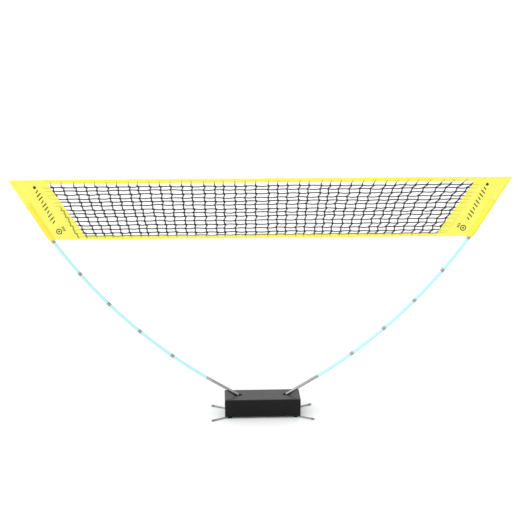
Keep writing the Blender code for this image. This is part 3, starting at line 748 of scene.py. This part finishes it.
def folds(x, z, side):
    """Shallow folds in the cloth, that run from the pole's end towards the window's corners."""
    height = (z - NET_BOTTOM) / NET_HEIGHT
    across = (x - window_x(z)) / (edge_x(z) - window_x(z))
    wide = np.sin(across * 9.5 + height * 6.5 + side) * 0.0012
    cross = np.sin(across * 4.0 - height * 12.5 + 2 * side) * 0.0008
    small = np.sin(across * 17 + height * 21 - side) * 0.0003
    calm = fade(across, 0.0, 0.18) * fade(1 - across, 0.10, 0.30)
    calm = calm * fade(height, 0.0, 0.12) * fade(1 - height, 0.0, 0.12)
    return (wide + cross + small) * (0.15 + 0.85 * calm)

def hem_ridge(x, z):
    """The hems are folded twice, so the cloth is thicker there."""
    edge = (edge_x(z) - x) / hypot(1, EDGE_SLOPE)
    inner = (x - window_x(z)) / hypot(1, WINDOW_SLOPE)
    nearest = np.minimum(np.minimum(edge, inner), np.minimum(NET_TOP - z, z - NET_BOTTOM))
    return HEM_STEP * (1 - fade(nearest, HEM_WIDTH - 2 * HEM_STEP, HEM_WIDTH))

def panel_front(x, z, side):
    """y of the panel's face towards the viewer. The panel passes behind the pole."""
    return folds(x, z, side) + over_pole(x, z) - over_tip_rod(x, z) - CLOTH / 2 - hem_ridge(x, z)

def panel_back(x, z, side):
    """y of its other face."""
    return folds(x, z, side) + over_pole(x, z) + over_tip_rod(x, z) + CLOTH / 2 + hem_ridge(x, z)

def on_front(x, z, side, lift=0.0):
    """Points on the panel's front, or lifted off it towards the viewer."""
    return np.stack([x, panel_front(x, z, side) - lift, z], axis=1)

def on_back(x, z, side):
    """Points on the panel's back."""
    return np.stack([x, panel_back(x, z, side), z], axis=1)

def through(points, cords, reach=MARK_REACH):
    """How strongly the cords behind a cloth show through it, from 0 to 1, at each point."""
    inside = (cords > points.min(0) - 0.01) & (cords < points.max(0) + 0.01)
    near = cords[inside[:, 0] & inside[:, 2]]
    tree = KDTree(len(near))
    for i, (x, _, z) in enumerate(near):
        tree.insert((x, 0, z), i)
    tree.balance()
    away = np.array([tree.find((x, 0, z))[2] for x, _, z in points])
    return 1 - fade(away, 0.0004, reach)

def pole_x(height):
    """x of the pole's bow at a height, and of the tip rod above it."""
    if height > TIP.z:
        return TIP.x + (height - TIP.z) * EDGE_SLOPE
    return BOW_CENTRE.x + sqrt(BOW_RADIUS**2 - (height - BOW_CENTRE.z) ** 2)

HEM_COLUMNS, MIDDLE_COLUMNS, POLE_COLUMNS = 14, 108, 26
MIDDLE_ROWS = 160
FINE_STEP = 0.0012

def panel_columns(height):
    """x of the panel's columns: closer together by the window and over the pole."""
    by_window = window_x(height) + np.arange(HEM_COLUMNS) * FINE_STEP
    by_pole = pole_x(height) - 0.024
    between = np.linspace(by_window[-1] + FINE_STEP, by_pole, MIDDLE_COLUMNS, endpoint=False)
    over = np.linspace(by_pole, edge_x(height), POLE_COLUMNS)
    return np.concatenate([by_window, between, over])

def panel_rows():
    """Heights of its rows: closer together in the hems."""
    in_hem = np.arange(0, HEM_WIDTH + 0.003, 0.0013)
    low, high = NET_BOTTOM + in_hem, NET_TOP - in_hem[::-1]
    return np.concatenate([low, np.linspace(low[-1], high[0], MIDDLE_ROWS)[1:-1], high])

def shows_through(name, side, points, cords):
    """How strongly the net behind shows through a panel. It does so most near the window."""
    past_window = points[:, 0] - window_x(points[:, 2])
    height = (points[:, 2] - NET_BOTTOM) / NET_HEIGHT
    across, down = [places * np.array([side, 1, 1]) for places in cords]
    marks = ACROSS_SHOWS * through(points, across) * (1 - fade(past_window, 0.030, 0.065))
    in_reach = (1 - fade(height, 0.48, 0.62)) * (1 - fade(past_window, 0.056, 0.066))
    last_cord = LAST_CORD_SHOWS[name] * through(points, down, LAST_CORD_REACH) * in_reach
    return np.maximum(marks, last_cord)

def end_panel(name, side, cloth, cords):
    """The slanted panel of doubled cloth at one end of the net."""
    heights = panel_rows()
    x = np.concatenate([panel_columns(height) for height in heights])
    columns = len(x) // len(heights)
    z = np.repeat(heights, columns)
    front, back = on_front(x, z, side), on_back(x, z, side)
    points, faces = closed_cloth(front, back, len(heights), columns)
    mesh = Mesh(side)
    mesh.add(points, faces, marks=shows_through(name, side, points, cords))
    node = f"net_end_panel_{name}"
    panel = mesh.piece(f"net_panel_cloth_{name}", cloth, "yellow_fabric", [node])

POCKET_PAST_TIP = 0.012  # how far the pocket goes on past the pole's end
POCKET_START = bow_angle(Vector((pole_x(NET_BOTTOM), 0, NET_BOTTOM)))

def pocket_grid():
    """x and z of a pocket's points, in rows from the net's bottom edge up the pole."""
    first, last = POCKET_START, BOW_END + POCKET_PAST_TIP / BOW_RADIUS
    finer_from = 0.93
    shares = np.linspace(0, finer_from, 74, endpoint=False)
    shares = np.concatenate([shares, np.linspace(finer_from, 1, 14)])
    in_margin = np.linspace(-POCKET_SEAM - 0.004, -POCKET_SEAM, 3)
    rows = []
    for share in shares:
        angle = first + share * (last - first)
        centre = on_bow(angle)
        level = np.array([1 / cos(angle), 0.0])  # along the net's bottom edge
        square = np.array([cos(angle), sin(angle)])  # straight out from the pole
        out = (1 - share) * level + share * square
        to_edge = (edge_x(centre.z) - centre.x) / (out[0] - out[1] * EDGE_SLOPE) - 0.0012
        away = np.concatenate([in_margin, np.linspace(0.001 - POCKET_SEAM, to_edge, 24)])
        rows.append(np.stack([centre.x + away * out[0], centre.z + away * out[1]], axis=1))
    return np.array(rows)

def pocket_front(x, z, side):
    """y of the pocket's face towards the viewer: over the pole in front, as the panel is behind."""
    return panel_front(x, z, side) - 2 * over_pole(x, z) - 1.15 * CLOTH

def pocket(name, side, cloth):
    """The strip sewn over the panel's outer margin, with the pole between them."""
    grid = pocket_grid()
    x, z = grid[..., 0].ravel(), grid[..., 1].ravel()
    ripple = 0.00025 * np.sin(z * 310 + side) * np.clip(over_pole(x, z) / 0.004, 0, 1)
    face = pocket_front(x, z, side) + ripple
    front = np.stack([x, face, z], axis=1)
    back = np.stack([x, face + CLOTH, z], axis=1)
    rows, columns = grid.shape[:2]
    mesh = Mesh(side)
    mesh.add(*closed_cloth(front, back, rows, columns))
    node, tube = f"net_pocket_{name}", f"pole_tube_{name}_6"
    strip = mesh.piece(f"net_pocket_cloth_{name}", cloth, "pocket_fabric", [node])

# ---- stitching and print
def straight(start, end):
    """x and z of points along a straight line in the net's plane."""
    share = np.linspace(0, 1, 160)
    return start[0] + share * (end[0] - start[0]), start[1] + share * (end[1] - start[1])

def hem_lines():
    """The seams of a panel: along each hem, and beside the tip rod's tunnel."""
    inset = HEM_WIDTH - 0.0022
    inner = inset * hypot(1, WINDOW_SLOPE)
    outer = inset * hypot(1, EDGE_SLOPE)
    heights = (NET_BOTTOM + inset, NET_TOP - inset)
    low_in, high_in = [(window_x(height) + inner, height) for height in heights]
    low_out, high_out = [(edge_x(height) - outer, height) for height in heights]
    yield straight(low_in, high_in)
    yield straight(low_out, high_out)
    yield straight(low_in, low_out)
    yield straight(high_in, high_out)
    beside = TUNNEL_SEAM * hypot(1, EDGE_SLOPE) + 0.0008
    start, end = TIP.z + 0.014, NET_TOP - 0.004
    yield straight((pole_x(start) - beside, start), (pole_x(end) - beside, end))

def panel_stitches(name, side, thread):
    """The stitching on both faces of a panel, and round its pocket."""
    mesh = Mesh(side)
    for x, z in hem_lines():
        stitch_row(mesh, on_front(x, z, side), (0, -1, 0))
        stitch_row(mesh, on_back(x, z, side), (0, 1, 0))
    grid = pocket_grid()
    inner, outer = grid[:, 1], grid[:, -3]
    top = grid[-4]
    for line in (inner, outer, top):
        x, z = line[:, 0], line[:, 1]
        stitch_row(mesh, np.stack([x, pocket_front(x, z, side), z], axis=1), (0, -1, 0))
    stitch_row(mesh, on_back(inner[:, 0], inner[:, 1], side), (0, 1, 0))
    mesh.piece(f"net_panel_stitches_{name}", thread, "pocket_fabric")

INK_TOP, INK_BACK = 0.00022, 0.00005  # how far a print's two faces stand off the cloth

def printed_film(mesh, x, z, side, rows, columns):
    """A thin film of ink over a grid of points of the panel's front."""
    top, back = on_front(x, z, side, INK_TOP), on_front(x, z, side, INK_BACK)
    mesh.add(*closed_cloth(top, back, rows, columns))

def print_bar(mesh, corners, side):
    """One printed bar with four corners."""
    rows, columns = 4, 8
    a, b, c, d = [np.array(corner) for corner in corners]
    across, along = np.meshgrid(np.linspace(0, 1, columns), np.linspace(0, 1, rows))
    across, along = across.ravel()[:, None], along.ravel()[:, None]
    near, far = (1 - across) * a + across * b, (1 - across) * d + across * c
    flat = (1 - along) * near + along * far
    printed_film(mesh, flat[:, 0], flat[:, 1], side, rows, columns)

def print_ring(mesh, centre, outer, inner, side):
    """A printed ring, or a dot where inner is small."""
    angles = np.linspace(0, 2 * pi, 41)
    radii = np.repeat([outer, (outer + inner) / 2, inner], len(angles))
    x = centre[0] + radii * np.tile(np.cos(angles), 3)
    z = centre[1] + radii * np.tile(np.sin(angles), 3)
    printed_film(mesh, x, z, side, 3, len(angles))

def panel_print(name, side, black):
    """A plain pattern down the panel: a dot, slanted bars of two lengths, a ring and short bars."""
    mesh = Mesh(side)
    start, end = np.array([1.348, 1.455]), np.array([1.215, 1.187])
    run = (end - start) / np.linalg.norm(end - start)
    over = np.array([-run[1], run[0]])
    print_ring(mesh, start, 0.0090, 0.0004, side)
    first, pitch, width, slant = 0.024, 0.0230, run * 0.0070, run * 0.005
    for i in range(10):
        base = start + run * (first + pitch * i)
        half = 0.0150 if i % 3 else 0.0095
        low, high = base - over * half - slant, base + over * half + slant
        print_bar(mesh, [low, low + width, high + width, high], side)
    print_ring(mesh, end, 0.0180, 0.0125, side)
    print_ring(mesh, end, 0.0055, 0.0004, side)
    first, pitch, width, length = -0.016, 0.0105, run * 0.0055, -over * 0.014
    for i in range(3):
        base = end - over * 0.025 + run * (first + pitch * i)
        print_bar(mesh, [base, base + width, base + width + length, base + length], side)
    mesh.piece(f"net_print_{name}", black, "net_cord")

# ---- the bands along the net
BAND_FRONT = 0.0017  # y of a band's front face; its back is as far behind the cords
TAPE = 0.0009  # thickness
BAND_STEP = 0.0022  # from one of its columns to the next
TUCKED_IN = 0.011  # how far it goes on behind each panel
SEAM_INSET = 0.0032

def band_section(open_z, fold_z, inset):
    """y and z round a folded tape, from its front edge over the fold to its back edge."""
    up = 1 if fold_z > open_z else -1
    half = NET_PLANE - BAND_FRONT - inset
    turn_z = fold_z - up * (half + inset)
    straight_z = np.linspace(open_z, turn_z, 9, endpoint=False)
    angles = np.linspace(0, pi, 9)
    front = [(NET_PLANE - half, z) for z in straight_z]
    fold = [(NET_PLANE - half * cos(a), turn_z + up * half * sin(a)) for a in angles]
    back = [(NET_PLANE + half, z) for z in straight_z[::-1]]
    return np.array(front + fold + back)

def band_waves(x, fold_z):
    """How a band's line strays from straight: forwards and back, and up and down."""
    forth = 0.0007 * np.sin(x * 12.7 + fold_z)
    up = 0.0005 * (np.sin(x * 23.1) + np.sin(x * 9.2))
    return forth, up

def band(name, node, open_z, fold_z, cloth, thread, cords):
    """A tape folded over the net's edge and sewn through. It is tucked behind the panels."""
    reach = window_x(fold_z) + TUCKED_IN
    x = np.arange(-reach, reach + BAND_STEP / 2, BAND_STEP)
    forth, up = band_waves(x, fold_z)
    surfaces = []
    for inset in (0.0, TAPE):
        section = band_section(open_z, fold_z, inset)
        rows = len(section)
        y = np.repeat(section[:, 0], len(x)) + np.tile(forth, rows)
        z = np.repeat(section[:, 1], len(x)) + np.tile(up, rows)
        surfaces.append(np.stack([np.tile(x, rows), y, z], axis=1))
    points, faces = closed_cloth(*surfaces, rows, len(x))
    if fold_z > open_z:
        faces = [face[::-1] for face in faces]
    mesh = Mesh()
    mesh.add(points, faces, marks=through(points, np.concatenate(cords)))
    strip = mesh.piece(name, cloth, "yellow_fabric", [node])
    stitches = Mesh()
    seam = open_z + (SEAM_INSET if fold_z > open_z else -SEAM_INSET)
    in_view = np.abs(x) < reach - TUCKED_IN - 0.001
    for face, outward in ((BAND_FRONT, -1), (2 * NET_PLANE - BAND_FRONT, 1)):
        line = np.stack([x, face + forth, seam + up], axis=1)[in_view]
        stitch_row(stitches, line, (0, outward, 0))
    stitches.piece(f"{name}_stitches", thread, "pocket_fabric")

# ---- the poles
TUBE_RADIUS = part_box("pole_tube_right_6")[1].y
ROD_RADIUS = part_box("pole_rod_right")[1].y
TIP_ROD_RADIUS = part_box("pole_tip_rod_right")[1].y

def pole_tubes(name, side, paint):
    """The pole's painted tubes, a little narrower and rubbed where the ferrules hold them."""
    gap = 0.0005 / BOW_RADIUS
    for i in range(TUBES):
        first, last = BOW_START + i * TUBE_TURN + gap, BOW_START + (i + 1) * TUBE_TURN - gap
        angles = np.linspace(first, last, 60)
        path = np.array([on_bow(angle) for angle in angles])
        from_end = np.minimum(angles - angles[0], angles[-1] - angles) * BOW_RADIUS
        radii = TUBE_RADIUS - 0.0003 * (1 - fade(from_end, 0.0, 0.012))
        mesh = Mesh(side)
        sweep(mesh, path, radii, 28, marks=1 - fade(from_end, 0.013, 0.045))
        node = f"pole_tube_{name}_{i + 1}"
        mesh.piece(f"{node}_skin", paint, "cyan_tube", [node], mark="end")

def ferrule_profile():
    """Distance along and radius round a ferrule's wall: rolled lips, and a crimp by each end."""
    half, body, lip, bore = 0.0115, 0.0109, 0.0113, TUBE_RADIUS + 0.00015
    edge, crimp = body - 0.0003, body - 0.0004
    from_end = [(0, edge), (0.0004, lip), (0.0012, lip), (0.0019, body)]
    from_end += [(0.0044, body), (0.0050, crimp), (0.0058, crimp), (0.0064, body)]
    outer = [(-half + along, radius) for along, radius in from_end]
    outer += [(-along, radius) for along, radius in outer[::-1]]
    return outer + [(half, bore), (-half, bore)]

def ferrules(name, side, steel):
    """The steel sleeves over the tubes' joints."""
    for i, angle in enumerate(FERRULE_ANGLES):
        mesh = Mesh(side)
        along_pole = (-sin(angle), 0, cos(angle))
        turned(mesh, on_bow(angle), along_pole, ferrule_profile(), closed=True)
        node = f"pole_ferrule_{name}_{i + 1}"
        mesh.piece(f"{node}_sleeve", steel, "polished_steel", [node])

def axis_of(node):
    """The centres of a straight bar's lower and upper end faces."""
    corners = np.array([v.co for v in nodes[node].data.vertices])
    along = np.linalg.svd(corners - corners.mean(0))[2][0]
    along *= np.sign(along[2])
    reach = corners @ along
    at_low, at_high = reach < reach.min() + 0.0003, reach > reach.max() - 0.0003
    return corners[at_low].mean(0), corners[at_high].mean(0)

def rods(name, side, steel, paint):
    """The steel rod with its neck, and the thin rod at the pole's tip."""
    low, high = axis_of("pole_rod_right")
    along = (high - low) / np.linalg.norm(high - low)
    shoulder = float((np.array(on_bow(BOW_START)) - low) @ along)
    neck, end = 0.0062, float((high - low) @ along)
    profile = [(0, 0.0080), (0.0010, ROD_RADIUS), (shoulder - 0.0010, ROD_RADIUS)]
    profile += [(shoulder, ROD_RADIUS - 0.0008), (shoulder, neck)]
    profile += [(end - 0.0006, neck), (end, neck - 0.0006)]
    mesh = Mesh(side)
    turned(mesh, low, along, profile, 36)
    mesh.piece(f"pole_rod_{name}_bar", steel, "polished_steel", [f"pole_rod_{name}"])
    low, high = axis_of("pole_tip_rod_right")
    thin = Mesh(side)
    sweep(thin, np.linspace(low, high, 30), TIP_ROD_RADIUS, 16)
    thin.piece(f"pole_tip_rod_{name}_bar", paint, "cyan_tube", [f"pole_tip_rod_{name}"])

# ---- the case and its feet
def case_and_feet():
    """Materials for the CAD nodes that stay in view, by the start of their names."""
    # The case's faces that look upwards get painted light: a paler grey, as if lit from above.
    black = moulded_plastic("case_black", (0.0045, 0.0045, 0.0043), 0.19, dust_and_painted_top_light=0.72)
    parts = moulded_plastic("black_fittings", (0.0045, 0.0045, 0.0047), 0.28, 0.04)
    zinc = zinc_plate()
    finishes = {
        "case_": black,
        "foot_hub": black,
        "latch_bolt": parts,
        "pole_socket": parts,
        "pole_plug": parts,
        "lid_hinge_pin": zinc,
        "foot_leg": zinc,
        "foot_screw": zinc,
        "foot_boot": rubber(),
        "shock_cord": cord_material("elastic_cord", (0.80, 0.80, 0.78), 0.004),
    }
    for start, material in finishes.items():
        for name, node in nodes.items():
            if name.startswith(start):
                node.data.materials.clear()
                node.data.materials.append(material)

# ---- everything, in order
studio()
floor()
look_from(-2.48, 15.44, 0.07, 7.0, Vector((-0.0154, 0, 0.998)), 80.05)
yellow = fabric("yellow_fabric", (0.88, 0.84, 0.130), (0.81, 0.76, 0.10))
deeper = fabric("pocket_fabric", (0.90, 0.78, 0.062), (0.86, 0.73, 0.05), 0.0014)
binding = tape("yellow_tape", (0.85, 0.81, 0.080), (0.78, 0.73, 0.06))
sewing = cord_material("yellow_thread", (0.72, 0.66, 0.10), 0.0008)
printed = ink()
cords = net_cords()
band("net_top_tape", "net_top_band", WINDOW_TOP, NET_TOP, binding, sewing, cords)
band("net_bottom_tape", "net_bottom_band", WINDOW_BOTTOM, NET_BOTTOM, binding, sewing, cords)
steel = bright_steel()
paint = painted_tube()
for name, side in (("right", 1), ("left", -1)):
    end_panel(name, side, yellow, cords)
    pocket(name, side, deeper)
    panel_stitches(name, side, sewing)
    panel_print(name, side, printed)
    pole_tubes(name, side, paint)
    ferrules(name, side, steel)
    rods(name, side, steel, paint)
case_and_feet()
